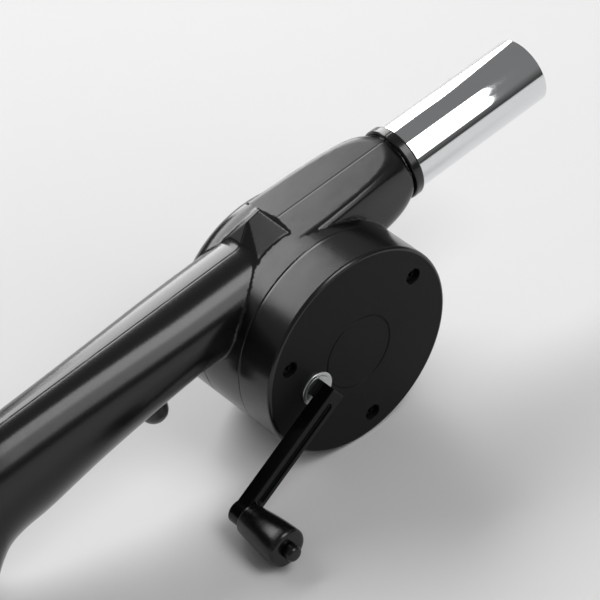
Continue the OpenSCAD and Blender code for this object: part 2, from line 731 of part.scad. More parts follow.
// Knob: a taper that swells to its outer end, with a rounded edge
knob_chamfer = 0.6;
module crank_knob() color(plastic) at_parting()
    translate([knob_at[0], -knob_start, knob_at[1]]) rotate([90, 0, 0]) rotate_extrude()
        polygon(concat(
            [[knob_pin_r + run_fit, 0], [knob_r_near - knob_chamfer, 0], [knob_r_near, knob_chamfer],
            [knob_r_far - knob_chamfer / 2, knob_len * 0.6]],
            [for (a = [0:15:90]) [knob_r_far - knob_round * (1 - cos(a)),
                knob_len - knob_round * (1 - sin(a))]],
            [[knob_pin_r + run_fit, knob_len]]));

module screw(at, head_from, way, shank_to, thread_to) {
    rod(head_r, at, min(head_from, head_from + way * head_h), max(head_from, head_from + way * head_h));
    rod(shank_r, at, min(head_from, shank_to), max(head_from, shank_to));
    rod(pilot_r - press_fit, at, min(shank_to, thread_to), max(shank_to, thread_to));
}
module cover_screws() color(steel) at_parting() for (p = cover_screws_at)
    screw(p, face_depth - recess_d, 1, cup_end, cup_end - thread_len);
module shell_screws() color(steel) at_parting() for (p = shell_screws_at)
    screw(p, -head_depth(p), -1, 0, thread_len);

left_shell();
right_shell();
gear_cover();
crank_bush();
crank_sleeve();
crank_washer();
crank_gear();
crank_arm();
knob_pin();
crank_knob();
idler_gear();
idler_pin();
idler_washer();
fan_pinion();
fan_shaft();
front_bush();
back_bush();
impeller();
impeller_clip();
outlet_tube();
cover_screws();
shell_screws();
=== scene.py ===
"""Looks of a hand crank fan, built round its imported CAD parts.

Each moulding is drawn as the distance to its surface, out of the same sizes as
the CAD part, and turned into a fine mesh with rounded edges. Turned pieces are
spun from a profile. Lengths in the drawings are millimetres, and Blender's
objects are in metres, in the CAD parts' own frame.
"""

import json
from math import atan2, cos, pi, radians, sin

import bmesh
import bpy
import numpy as np
from mathutils import Matrix, Vector


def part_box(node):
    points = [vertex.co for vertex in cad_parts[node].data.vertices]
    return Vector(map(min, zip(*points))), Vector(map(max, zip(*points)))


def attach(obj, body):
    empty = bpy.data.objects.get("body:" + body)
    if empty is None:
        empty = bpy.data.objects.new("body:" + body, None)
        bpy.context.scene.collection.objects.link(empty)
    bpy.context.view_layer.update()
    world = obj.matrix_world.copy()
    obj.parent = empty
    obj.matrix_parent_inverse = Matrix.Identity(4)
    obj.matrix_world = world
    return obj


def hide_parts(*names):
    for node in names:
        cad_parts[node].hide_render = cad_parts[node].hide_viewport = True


bl_info = {
    "name": "Hand crank fan",
    "version": (1, 0, 0),
    "blender": (4, 5, 0),
    "location": "View3D > Sidebar > Hand crank fan",
    "description": "Mouldings, finishes and studio for a hand crank fan",
    "category": "Object",
}

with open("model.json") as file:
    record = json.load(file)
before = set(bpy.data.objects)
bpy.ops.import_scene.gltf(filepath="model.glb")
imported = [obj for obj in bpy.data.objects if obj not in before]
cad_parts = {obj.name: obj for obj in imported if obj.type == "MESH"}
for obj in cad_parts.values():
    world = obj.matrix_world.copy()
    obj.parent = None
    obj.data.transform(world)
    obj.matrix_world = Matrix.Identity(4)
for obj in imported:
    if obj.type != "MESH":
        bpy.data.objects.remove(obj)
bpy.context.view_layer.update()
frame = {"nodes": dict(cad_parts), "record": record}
MM = 0.001


def corners(node):
    """A CAD node's lowest and highest corner, in mm."""
    return [np.array(corner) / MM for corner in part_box(node)]


def centre(node):
    """Middle of a CAD node's box, in mm."""
    return sum(corners(node)) / 2


# Sizes that the CAD parts give
left_low, left_high = corners("left_shell")
right_high = corners("right_shell")[1]
cover_low, cover_high = corners("gear_cover")
tube_low, tube_high = corners("outlet_tube")
arm_low, arm_high = corners("crank_arm")
bush_low = corners("crank_bush")[0]
knob_low, knob_high = corners("crank_knob")
pin_low, pin_high = corners("knob_pin")
PARTING_Y = (left_low[1] + right_high[1]) / 2
SEAM_GAP = left_low[1] - right_high[1]
DRUM_R = cover_high[0]
BACK_DEPTH = left_high[1] - PARTING_Y
SEAM_DEPTH = PARTING_Y - cover_high[1] + 2
FACE_DEPTH = PARTING_Y - cover_low[1]
HANDLE_LEN = -left_low[0]
COLLAR_END = left_high[0]
GUARD_TOP = left_high[2]
TUBE_R = (tube_high[2] - tube_low[2]) / 2
TUBE_Z = tube_high[2] - TUBE_R
SPIGOT_START, TUBE_END = tube_low[0], tube_high[0]
CRANK_AT, IDLER_AT, KNOB_AT = (
    centre(name)[[0, 2]] for name in ("crank_bush", "idler_pin", "crank_knob"))
THROW = float(np.hypot(*(KNOB_AT - CRANK_AT)))
ARM_IN, ARM_OUT = PARTING_Y - arm_high[1], PARTING_Y - arm_low[1]

# Sizes of the mouldings that no box gives
WALL = 2.2
GEAR_CASE_DEEP = 20.4
BACK_ROUND = 7.0
HANDLE_TOP, HANDLE_DEEP, HANDLE_WIDE, HANDLE_POWER = 38.5, 31.0, 31.0, 2.15
REST_X, REST_R, REST_LOW = 62.4, 5.2, 7.6
NECK_R, NECK_LEFT, NECK_RIGHT, NECK_POWER, NECK_EASE = 13.1, 15.2, 16.4, 6.5, 1.5
COLLAR_R, COLLAR_LEN, GROOVE = 13.7, 4.7, 0.7
SEAT_SWAGE, SPIGOT_R, BEAD = 0.2, 10.2, 0.6
PRESS_FIT, RUN_FIT = 0.03, 0.05
INNER_R = DRUM_R - WALL
WEB_DEPTH = FACE_DEPTH - GEAR_CASE_DEEP
COLLAR_X = COLLAR_END - COLLAR_LEN
SEAT_START = COLLAR_X + 2 * GROOVE
HEAD_R, HEAD_H, SHANK_R, THREAD, PITCH = 2.5, 1.7, 1.3, 9.0, 0.6
HEAD_HOLE_R, SHANK_HOLE_R, PILOT_R = 2.85, SHANK_R + PRESS_FIT + RUN_FIT, 1.04
BOSS_R, POST_R, GRIP_BOSS = 4.0, 2.8, HANDLE_WIDE * 0.44
RECESS_R, RECESS_D = 3.0, 3.4
CUP_END, BUSH_END = FACE_DEPTH - RECESS_D - WALL, FACE_DEPTH - 7.5

# Sizes of what turns, and of the holes that it turns in
SHAFT_R, JOURNAL_R, SLEEVE_R, KNOB_PIN_R = 1.5, 2.5, 5.0, 2.0
FAN_BUSH_R, CRANK_BUSH_R = SHAFT_R + RUN_FIT + 1.0, SLEEVE_R + RUN_FIT + 1.0
BACK_HUB_R = 4.55
WEB_BOSS_START = WEB_DEPTH - 1.6
WEB_SEAT = WEB_BOSS_START + 0.8
ARM_HALF, SQUARE_HALF, EYE_SHARE, ARM_GAP = 3.5, 3.1, 1.28, 3.2
KNOB_R_NEAR = 5.6
TUBE_WALL, STOP_GAP = 0.8, 0.1

# Handle, as rows of [distance back, top, depth, width] in shares of its sizes
GRIP = [
    [0.00, 1.000, 1.00, 1.00], [0.13, 0.990, 1.00, 1.00], [0.32, 0.977, 1.01, 0.985],
    [0.47, 0.966, 1.10, 0.95], [0.61, 0.956, 1.21, 0.92], [0.745, 0.946, 1.34, 0.915],
    [0.82, 0.938, 1.375, 0.915], [0.865, 0.930, 1.45, 0.915], [0.895, 0.915, 1.60, 0.91],
    [0.925, 0.885, 1.81, 0.90], [0.950, 0.835, 1.87, 0.87], [0.972, 0.74, 1.74, 0.80],
    [0.988, 0.60, 1.40, 0.66], [1.00, 0.33, 0.78, 0.34]]
# Points of the thumb guard, as [x, distance from the parting plane, z]
CREST, CREST_BACK = [-4.3, 0.0, 48.0], [-9.2, 0.0, 48.0]
TIP, FRONT_FOOT = [0.6, 6.6, 39.6], [2.2, 0.0, 38.7]
FLANK_FOOT = [-6.5, 8.0, 39.1], [-13.9, 8.4, 37.1]
BACK_CORNER, BACK_MIDDLE = [-15.1, 7.0, 37.0], [-14.6, 0.0, 39.5]


def circle_of(r, angles):
    return [r * np.array([cos(radians(a)), sin(radians(a))]) for a in angles]


FAN_AT = (0.0, 0.0)
COVER_SCREWS = circle_of(INNER_R * 0.84, (28, 154, 272))
DRUM_SCREWS = circle_of(INNER_R * 0.87, (100, 212, 318))
GRIP_SCREWS = [np.array([-x * HANDLE_LEN, z * HANDLE_TOP])
               for x, z in ((0.40, 0.55), (0.83, 0.40))]
SHELL_SCREWS = DRUM_SCREWS + GRIP_SCREWS
DRUM_SEAT = BACK_DEPTH - WALL - HEAD_H
GRIP_SEAT = DRUM_SEAT - 2 * WALL


# Distances. Each is negative inside a solid, and x, y and z may be any arrays
# that fit together; y is measured out from the parting plane.

def meet(a, b, edge=0.0):
    """What two solids share, its edge rounded."""
    a, b = a + edge, b + edge
    return np.hypot(np.maximum(a, 0), np.maximum(b, 0)) + np.minimum(np.maximum(a, b), 0) - edge


def join(a, b, fillet=0.0):
    """Two solids together, with a fillet between them."""
    return -meet(-a, -b, fillet)


def cut(a, b, edge=0.0):
    """The first solid without the second, its edge rounded."""
    return meet(a, -b, edge)


def between(t, low, high):
    return abs(t - (low + high) / 2) - (high - low) / 2


def rod(x, y, z, at, r, low, high, edge=0.0):
    """A round rod across the drum, from one depth to another."""
    return meet(np.hypot(x - at[0], z - at[1]) - r, between(y, low, high), edge)


def with_rods(form, x, y, z, places, *rod_sizes):
    """A form with a like rod added at each place."""
    for at in places:
        form = np.minimum(form, rod(x, y, z, at, *rod_sizes))
    return form


def drilled(form, x, y, z, places, *rod_sizes, edge=0.0):
    """A form with a like hole at each place, its rim rounded."""
    for at in places:
        form = cut(form, rod(x, y, z, at, *rod_sizes), edge)
    return form


def through(rows, steps=12):
    """Samples of a smooth curve through the rows of a table."""
    rows = np.array(rows, float)
    s = (np.arange(steps) / steps)[:, None]
    ends = np.vstack([rows[:1], rows, rows[-1:]])
    spans = [(2 * b + (c - a) * s + (2 * a - 5 * b + 4 * c - d) * s**2
              + (3 * b - a - 3 * c + d) * s**3) / 2
             for a, b, c, d in zip(ends, ends[1:], ends[2:], ends[3:])]
    return np.vstack([*spans, rows[-1:]])


def oval(x, y, z, at, half_width, middle, half_height, power):
    """A form along x whose sections are ellipses, pinched or squared by their power."""
    def look_up(values):
        values = np.broadcast_to(np.asarray(values, float), at.shape)
        return np.interp(x, at, values), np.interp(x, at, np.gradient(values, at))
    (w, w_slope), (m, m_slope), (h, h_slope) = map(look_up, (half_width, middle, half_height))
    p = look_up(power)[0]
    u, v = abs(y) / w + 1e-6, abs(z - m) / h + 1e-6
    reach = (u**p + v**p) ** (1 / p)
    steep = np.maximum(reach, 1e-3) ** (1 - p)
    across, up = steep * u ** (p - 1) / w, steep * v ** (p - 1) / h
    along = across * u * w_slope + up * (np.sign(z - m) * m_slope + v * h_slope)
    return (reach - 1) / np.sqrt(across**2 + up**2 + along**2)


def grip(x, y, z, inset=0.0, first=0.0, last=1.0):
    """The handle, or its hollow."""
    back, top, deep, wide = through(GRIP)[::-1].T
    top, deep = top * HANDLE_TOP, deep * HANDLE_DEEP
    side = oval(x, y, z, -back * HANDLE_LEN, wide * HANDLE_WIDE / 2 - inset, top - deep / 2,
                deep / 2 - inset, HANDLE_POWER)
    return meet(side, between(x, -last * HANDLE_LEN, -first * HANDLE_LEN), 0 if inset else 2.0)


def neck(x, y, z, half_width, edge, inset=0.0, first=0.0, last=SEAT_START):
    """The neck from the drum to the collar, square and flat-topped to round."""
    at = np.linspace(0, SEAT_START, 60)
    slim, square = (np.maximum(1 - (at / COLLAR_X) ** ease, 0) for ease in (NECK_EASE, 4))
    side = oval(x, y, z, at, NECK_R + (half_width - NECK_R) * slim - inset, TUBE_Z,
                NECK_R - (at / COLLAR_X) ** 10 - inset, 2 + (NECK_POWER - 2) * square)
    return meet(meet(side, z - DRUM_R + inset, edge), between(x, first, last))


def facet(x, y, z, *corners):
    """Distance outside the plane through three points."""
    a, b, c = (np.array(corner) for corner in corners)
    out = np.cross(b - a, c - a)
    out /= np.linalg.norm(out)
    return out[0] * x + out[1] * y + out[2] * z - out @ a


def guard(x, y, z, ridge):
    """The thumb guard, a wedge of flat facets, the same on both sides."""
    off = abs(y)
    flank = facet(x, off, z, CREST, *FLANK_FOOT)
    front = facet(x, off, z, CREST, FRONT_FOOT, TIP)
    back = facet(x, off, z, CREST_BACK, BACK_CORNER, BACK_MIDDLE)
    crest = facet(x, off, z, CREST, [CREST[0], 1.0, CREST[2]], CREST_BACK)
    form = meet(meet(meet(flank, crest, ridge / 2), front, ridge), back, ridge)
    return meet(form, DRUM_R - 2 * WALL - z)


def around_tube(y, z):
    return np.hypot(y, z - TUBE_Z)


def shell_outside(x, y, z, drum, half_width, look):
    """The outer form of a shell: handle, guard and finger rest, then drum, neck and collar."""
    fillet, soft = look.fillet / MM, look.guard_fillet / MM
    rest = np.sqrt((x + REST_X) ** 2 + y**2
                   + (z - np.clip(z, REST_R - REST_LOW, HANDLE_TOP - HANDLE_DEEP)) ** 2) - REST_R
    handle = join(join(grip(x, y, z), guard(x, y, z, look.ridge / MM), soft), rest, soft)
    form = join(handle, np.minimum(drum, neck(x, y, z, half_width, look.neck_edge / MM)), fillet)
    from_tube = around_tube(y, z)
    groove = cut(between(x, COLLAR_X, COLLAR_X + GROOVE), from_tube - NECK_R + GROOVE)
    ring = meet(from_tube - COLLAR_R, between(x, COLLAR_X + GROOVE, COLLAR_END), 0.8)
    return join(cut(form, groove, 0.25), ring)


def shell_inside(x, y, z, half_width):
    """Hollow of handle and neck, and the tube's stepped seat."""
    from_tube = around_tube(y, z)
    seat = [meet(from_tube - r - PRESS_FIT, between(x, start, end)) for r, start, end in (
        (SPIGOT_R, SPIGOT_START, SEAT_START + GROOVE),
        (SPIGOT_R + BEAD, SPIGOT_START + 2 * WALL, SPIGOT_START + 3 * WALL),
        (TUBE_R - SEAT_SWAGE, SEAT_START, COLLAR_END + WALL))]
    hollow = np.minimum(grip(x, y, z, WALL, 0.32, 0.95),
                        neck(x, y, z, half_width, 0, WALL, DRUM_R / 8, SPIGOT_START + WALL))
    for part in seat:
        hollow = np.minimum(hollow, part)
    return hollow


def intake_slots(x, y, z):
    """Rings of slots in the flat back, between six spokes."""
    first_r, pitch, slot_w, spoke_w, spokes = 6.55, 4.6, 2.6, 3.0, 6
    r, turn = np.hypot(x, z), np.arctan2(z, x)
    off = (turn + pi / spokes) % (2 * pi / spokes) - pi / spokes
    ring = abs(r - first_r - slot_w / 2 - pitch * np.clip(np.round(
        (r - first_r - slot_w / 2) / pitch), 0, 3)) - slot_w / 2
    return meet(meet(ring, spoke_w / 2 - r * abs(np.sin(off)), 0.6), BACK_DEPTH - 2 * WALL - y)


def left_moulding(look):
    """The left shell as a distance."""
    def distance(x, y, z):
        edge = look.edge / MM
        drum = meet(np.hypot(x, z) - DRUM_R, y - BACK_DEPTH, BACK_ROUND)
        form = meet(shell_outside(x, y, z, drum, NECK_LEFT, look), SEAM_GAP / 2 - y, edge)
        form = cut(form, meet(np.hypot(x, z) - INNER_R, y - BACK_DEPTH + WALL, BACK_ROUND - WALL))
        form = cut(form, shell_inside(x, y, z, NECK_LEFT))
        for at in DRUM_SCREWS:
            boss = rod(x, y, z, at, BOSS_R, SEAM_GAP / 2, BACK_DEPTH - WALL / 2)
            form = np.minimum(form, meet(boss, drum))
        form = with_rods(form, x, y, z, GRIP_SCREWS, BOSS_R, SEAM_GAP / 2, GRIP_BOSS)
        form = with_rods(form, x, y, z, [FAN_AT], BACK_HUB_R,
                         BACK_DEPTH - 3 * WALL, BACK_DEPTH - WALL / 2)
        form = cut(form, intake_slots(x, y, z), edge)
        form = drilled(form, x, y, z, [FAN_AT], FAN_BUSH_R + PRESS_FIT, 0, BACK_DEPTH - WALL)
        form = drilled(form, x, y, z, SHELL_SCREWS, SHANK_HOLE_R, -WALL, BACK_DEPTH + WALL)
        for places, seat in ((DRUM_SCREWS, DRUM_SEAT), (GRIP_SCREWS, GRIP_SEAT)):
            form = drilled(form, x, y, z, places, HEAD_HOLE_R, seat, BACK_DEPTH + WALL, edge=edge)
        return form
    return distance


def right_moulding(look):
    """The right shell as a distance, with y toward the crank."""
    def distance(x, y, z):
        edge = look.edge / MM
        drum = meet(np.hypot(x, z) - DRUM_R, y - SEAM_DEPTH + SEAM_GAP / 2, edge)
        form = meet(shell_outside(x, y, z, drum, NECK_RIGHT, look), SEAM_GAP / 2 - y, edge)
        form = drilled(form, x, y, z, [FAN_AT], INNER_R, -WALL, WEB_DEPTH)
        form = drilled(form, x, y, z, [FAN_AT], INNER_R, WEB_DEPTH + WALL, SEAM_DEPTH + WALL)
        form = cut(form, shell_inside(x, y, z, NECK_RIGHT))
        form = with_rods(form, x, y, z, DRUM_SCREWS, POST_R, SEAM_GAP / 2, WEB_DEPTH + WALL / 2)
        form = with_rods(form, x, y, z, GRIP_SCREWS, POST_R, SEAM_GAP / 2, GRIP_BOSS)
        form = with_rods(form, x, y, z, COVER_SCREWS, POST_R, WEB_DEPTH + WALL / 2, CUP_END)
        form = with_rods(form, x, y, z, (FAN_AT, CRANK_AT, IDLER_AT), JOURNAL_R + 2 * WALL,
                         WEB_BOSS_START, WEB_DEPTH + WALL / 2)
        form = drilled(form, x, y, z, SHELL_SCREWS, PILOT_R, -WALL, THREAD + 1)
        form = drilled(form, x, y, z, COVER_SCREWS, PILOT_R, WEB_DEPTH + WALL, CUP_END + WALL)
        for at, hole_r, first in ((FAN_AT, FAN_BUSH_R + PRESS_FIT, WEB_DEPTH - WALL),
                                  (CRANK_AT, JOURNAL_R + RUN_FIT, WEB_SEAT),
                                  (IDLER_AT, SHAFT_R + PRESS_FIT, WEB_SEAT)):
            form = drilled(form, x, y, z, [at], hole_r, first, WEB_DEPTH + 2 * WALL)
        return form
    return distance


def cover_moulding(look):
    """The gear cover as a distance, with y toward the crank."""
    def distance(x, y, z):
        edge = look.edge / MM
        r = np.hypot(x, z)
        cup = meet(r - DRUM_R, y - FACE_DEPTH, look.rim / MM)
        cup = meet(cup, SEAM_DEPTH + SEAM_GAP / 2 - y, edge)
        lip = meet(r - INNER_R + PRESS_FIT, between(y, SEAM_DEPTH - 2, SEAM_DEPTH + WALL))
        form = drilled(join(cup, lip), x, y, z, [FAN_AT], INNER_R - 1.4, 0, FACE_DEPTH - WALL)
        form = with_rods(form, x, y, z, COVER_SCREWS, RECESS_R + WALL / 2,
                         CUP_END, FACE_DEPTH - WALL / 2)
        for at, boss_r in ((CRANK_AT, CRANK_BUSH_R + WALL), (IDLER_AT, SHAFT_R + WALL)):
            form = with_rods(form, x, y, z, [at], boss_r, BUSH_END, FACE_DEPTH - WALL / 2)
        form = drilled(form, x, y, z, COVER_SCREWS, RECESS_R, FACE_DEPTH - RECESS_D,
                       FACE_DEPTH + WALL, edge=edge)
        form = drilled(form, x, y, z, COVER_SCREWS, SHANK_HOLE_R, 0, FACE_DEPTH)
        form = drilled(form, x, y, z, [CRANK_AT], CRANK_BUSH_R + PRESS_FIT, BUSH_END - WALL,
                       FACE_DEPTH + WALL, edge=edge)
        form = drilled(form, x, y, z, [IDLER_AT], SHAFT_R + PRESS_FIT,
                       BUSH_END - WALL, FACE_DEPTH - WALL)
        groove = np.hypot(r - look.ring_radius / MM, y - FACE_DEPTH) - look.ring_width / MM / 2
        return cut(form, groove, 0.12)
    return distance


def crank_moulding(look):
    """The crank arm as a distance: x runs along it, and y toward its front."""
    front = FACE_DEPTH + ARM_GAP

    def distance(x, y, z):
        edge = look.edge / MM
        depth = between(y, front, ARM_OUT)
        bar = meet(between(x, -SQUARE_HALF, THROW), abs(z) - ARM_HALF, edge)
        eye = np.hypot(x - THROW, z) - ARM_HALF * EYE_SHARE
        square = meet(abs(x) - SQUARE_HALF, abs(z) - SQUARE_HALF, edge)
        form = np.minimum(np.minimum(meet(bar, depth, edge), meet(eye, depth, edge)),
                          meet(square, between(y, ARM_IN, front + 2), edge))
        width = look.channel / MM / 2
        run = np.clip(x, SQUARE_HALF, THROW - KNOB_R_NEAR - width)
        channel = meet(np.hypot(x - run, z) - width, ARM_OUT - look.channel_deep / MM - y, edge)
        return cut(cut(form, channel, edge), np.hypot(x - THROW, z) - KNOB_PIN_R - PRESS_FIT)
    return distance


def screw(seat, length):
    """A pan-headed screw with a cross recess, as a distance; its head lies beyond its seat."""
    def distance(x, y, z):
        r, t = np.hypot(x, z), y - seat
        head = meet(r - HEAD_R, between(t, 0, HEAD_H), 0.6)
        wave = np.cos(2 * pi * y / PITCH - np.arctan2(z, x))
        deep = np.clip((-t - length + THREAD) * 2, 0, 1)
        shank = meet(r - SHANK_R + deep * 0.14 * (1 - wave), between(t, -length, 0.3), 0.3)
        arm = np.minimum(meet(abs(x) - 1.5, abs(z) - 0.35), meet(abs(z) - 1.5, abs(x) - 0.35))
        return cut(np.minimum(head, shank * 0.8), meet(arm, 0.7 - t), 0.08)
    return distance


def spaced(*stops):
    """Grid lines from stops of (place, spacing up to the next place)."""
    spans = [np.linspace(a, b, max(int(round((b - a) / gap)), 1), endpoint=False)
             for (a, gap), (b, _) in zip(stops, stops[1:])]
    return np.concatenate([*spans, [stops[-1][0]]])


def slope(distance, points, reach=0.02):
    """Which way a distance grows, at points."""
    steps = np.eye(3) * reach
    return np.stack([distance(*(points + s).T) - distance(*(points - s).T) for s in steps],
                    1) / (2 * reach)


def contour(distance, lines, polar=False):
    """Vertices, normals and faces where a distance is zero, on a grid of uneven lines.

    A cell that the surface passes through gets one vertex, at the point that
    fits the surface's planes in it best, so edges stay crisp. The lines of a
    polar grid are angles that close on themselves, radii, and depths.
    """
    def place(a, b, c):
        return (b * np.cos(a), c, b * np.sin(a)) if polar else (a, b, c)

    value = distance(*place(*np.meshgrid(*lines, indexing="ij", sparse=True)))
    inside = value < 0
    count = np.array(inside.shape)
    points, rings = [], []
    for axis in range(3):
        far = np.roll(inside, -1, axis)
        crossing = inside != far
        closes = polar and axis == 0
        if not closes:
            crossing[(slice(None),) * axis + (-1,)] = False
        low = np.argwhere(crossing)
        high = low.copy()
        high[:, axis] = (high[:, axis] + 1) % count[axis]
        start, end = value[tuple(low.T)], value[tuple(high.T)]
        at = [lines[k][low[:, k]] for k in range(3)]
        gap = lines[axis][high[:, axis]] - lines[axis][low[:, axis]]
        at[axis] = at[axis] + start / (start - end) * (gap % (2 * pi) if closes else gap)
        points.append(np.stack(np.broadcast_arrays(*place(*at)), 1))
        one, two = (axis + 1) % 3, (axis + 2) % 3
        ring = []
        for back_one, back_two in ((0, 0), (1, 0), (1, 1), (0, 1)):
            cell = low.copy()
            cell[:, one] -= back_one
            cell[:, two] -= back_two
            if polar:
                cell[:, 0] = np.where(cell[:, 1] < 0, 0, cell[:, 0] % count[0])
            ring.append(np.ravel_multi_index(tuple((cell + 1).T), count + 2))
        ring = np.stack(ring, 1)
        outward = inside[tuple(low.T)]
        ring[~outward] = ring[~outward][:, ::-1]
        rings.append(ring)
    points, rings = np.concatenate(points), np.concatenate(rings)
    normals = slope(distance, points)
    normals /= np.linalg.norm(normals, axis=1, keepdims=True) + 1e-12

    cells, faces = np.unique(rings, return_inverse=True)
    faces = faces.reshape(rings.shape)

    def gather(values):
        return sum(np.bincount(faces[:, k], values, len(cells)) for k in range(4))
    shared = gather(np.ones(len(points)))
    middle = np.stack([gather(points[:, k]) for k in range(3)], 1) / shared[:, None]
    offset = (normals * points).sum(1)
    pull = np.stack([gather(normals[:, k] * offset) for k in range(3)], 1)
    planes = np.stack([gather(normals[:, j] * normals[:, k]) for j in range(3) for k in range(3)],
                      1).reshape(-1, 3, 3)
    loose = 0.05 * shared[:, None, None] * np.eye(3)
    pull -= np.einsum("nij,nj->ni", planes, middle)
    shift = np.linalg.solve(planes + loose, pull[..., None])
    size = np.linalg.norm(shift[..., 0], axis=1, keepdims=True)
    vertices = middle + shift[..., 0] * np.minimum(1, 0.6 / (size + 1e-9))
    for _ in range(2):
        away = slope(distance, vertices)
        depth = distance(*vertices.T) / ((away**2).sum(1) + 1e-9)
        vertices -= away * np.clip(depth, -0.4, 0.4)[:, None]
    away = slope(distance, vertices, 0.06)
    return vertices, away / (np.linalg.norm(away, axis=1, keepdims=True) + 1e-12), faces


def link(mesh, body, slot, *nodes):
    """Puts a mesh in the scene as a piece, in its slot's finish, that stands for CAD nodes."""
    piece = bpy.data.objects.new(mesh.name, mesh)
    bpy.context.scene.collection.objects.link(piece)
    mesh.materials.append(coated(slot))
    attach(piece, body)
    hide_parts(*nodes)


def placed(solid, side, at=(0, 0), turn=0.0):
    """A drawn solid in the CAD frame: side is 1 toward the flat back, -1 toward the crank."""
    vertices, normals, faces = solid
    c, s = cos(turn), sin(turn)
    spin = np.array([[c, 0, s], [0, side, 0], [-s, 0, c]])
    return ((vertices @ spin + [at[0], PARTING_Y, at[1]]) * MM, normals @ spin,
            faces if side > 0 else faces[:, ::-1])


def mesh_of(name, *solids):
    """One smooth mesh of placed solids."""
    firsts = np.cumsum([0] + [len(solid[0]) for solid in solids])
    vertices, normals = (np.concatenate([solid[k] for solid in solids]) for k in (0, 1))
    faces = np.concatenate([solid[2] + first for solid, first in zip(solids, firsts)])
    mesh = bpy.data.meshes.new(name)
    mesh.from_pydata(vertices.tolist(), [], [tuple(dict.fromkeys(f)) for f in faces.tolist()])
    mesh.shade_smooth()
    mesh.normals_split_custom_set_from_vertices(normals.tolist())
    return mesh


def eased(profile, steps=4):
    """Rounds the corners of a closed profile of [radius, place, rounding]."""
    points = []
    for i, (r, t, rounding) in enumerate(profile):
        here = Vector((r, t))
        before, after = Vector(profile[i - 1][:2]), Vector(profile[(i + 1) % len(profile)][:2])
        if not rounding:
            points.append(here)
            continue
        a, b = (before - here).normalized(), (after - here).normalized()
        for k in range(steps + 1):
            share = k / steps
            near, far = here + a * rounding * (1 - share), here + b * rounding * share
            points.append(near.lerp(far, share))
    return points


def turned(name, profile, at, axis, steps=128):
    """A mesh spun from a closed profile of [radius, place, rounding].

    The axis is X, for the tube, or Y, with places measured out from the parting plane.
    """
    bm = bmesh.new()
    rings = []
    for r, t in eased(profile):
        ring = []
        for k in range(steps):
            u, v = r * cos(2 * pi * k / steps), r * sin(2 * pi * k / steps)
            ring.append(bm.verts.new((t, u, v) if axis == "X" else (u, -t, v)))
        rings.append(ring)
    for a, b in zip(rings, rings[1:] + rings[:1]):
        for k in range(steps):
            bm.faces.new((a[k], a[(k + 1) % steps], b[(k + 1) % steps], b[k]))
    bmesh.ops.remove_doubles(bm, verts=bm.verts, dist=1e-5)
    bmesh.ops.recalc_face_normals(bm, faces=bm.faces)
    bmesh.ops.transform(bm, verts=bm.verts, matrix=Matrix.Scale(MM, 4) @ Matrix.Translation(
        (at[0], PARTING_Y, at[1])))
    mesh = bpy.data.meshes.new(name)
    bm.to_mesh(mesh)
    bm.free()
    mesh.shade_smooth()
    mesh.set_sharp_from_angle(angle=radians(38))
    return mesh


def linear(hex_colour):
    """sRGB hex to Blender's linear colour."""
    channels = [int(hex_colour[i:i + 2], 16) / 255 for i in (1, 3, 5)]
    return [c / 12.92 if c <= 0.04045 else ((c + 0.055) / 1.055) ** 2.4 for c in channels] + [1]


def node(tree, kind, inputs=None, **settings):
    """Adds a node; an input is another node's output, which is linked, or a value."""
    made = tree.nodes.new(kind)
    for name, value in settings.items():
        setattr(made, name, value)
    for name, value in (inputs or {}).items():
        if isinstance(value, bpy.types.NodeSocket):
            tree.links.new(value, made.inputs[name])
        else:
            made.inputs[name].default_value = value
    return made


def finish(name, colour, second, roughness, spread, grain, relief, stretch=(1, 1, 1),
           drift=14.0, sink=0.0, **shader):
    """A solid finish: grain and drift are pattern sizes, relief and sink depths, all in mm."""
    material = bpy.data.materials.new(name)
    material.use_nodes = True
    tree = material.node_tree
    tree.nodes.clear()
    place = node(tree, "ShaderNodeTexCoord").outputs["Object"]
    fine = node(tree, "ShaderNodeMapping", {"Vector": place, "Scale": [s / MM for s in stretch]})
    texture = node(tree, "ShaderNodeTexNoise", {
        "Vector": fine.outputs[0], "Scale": 1 / grain, "Detail": 3.0, "Roughness": 0.6})
    cloud = node(tree, "ShaderNodeTexNoise", {
        "Vector": place, "Scale": 1 / (drift * MM), "Detail": 2.0, "Roughness": 0.5})
    tint = node(tree, "ShaderNodeMix", {
        "Factor": cloud.outputs["Fac"], 6: linear(colour), 7: linear(second)}, data_type="RGBA")
    matt = node(tree, "ShaderNodeMapRange", {
        "Value": texture.outputs["Fac"], "From Min": 0.3, "From Max": 0.7,
        "To Min": roughness - spread, "To Max": roughness + spread})
    waves = node(tree, "ShaderNodeBump", {"Height": cloud.outputs["Fac"], "Distance": sink * MM})
    bump = node(tree, "ShaderNodeBump", {
        "Height": texture.outputs["Fac"], "Distance": relief * MM, "Normal": waves.outputs[0]})
    body = node(tree, "ShaderNodeBsdfPrincipled", {
        "Base Color": tint.outputs[2], "Roughness": matt.outputs[0], "Normal": bump.outputs[0],
        **shader})
    node(tree, "ShaderNodeOutputMaterial", {"Surface": body.outputs[0]})
    return material


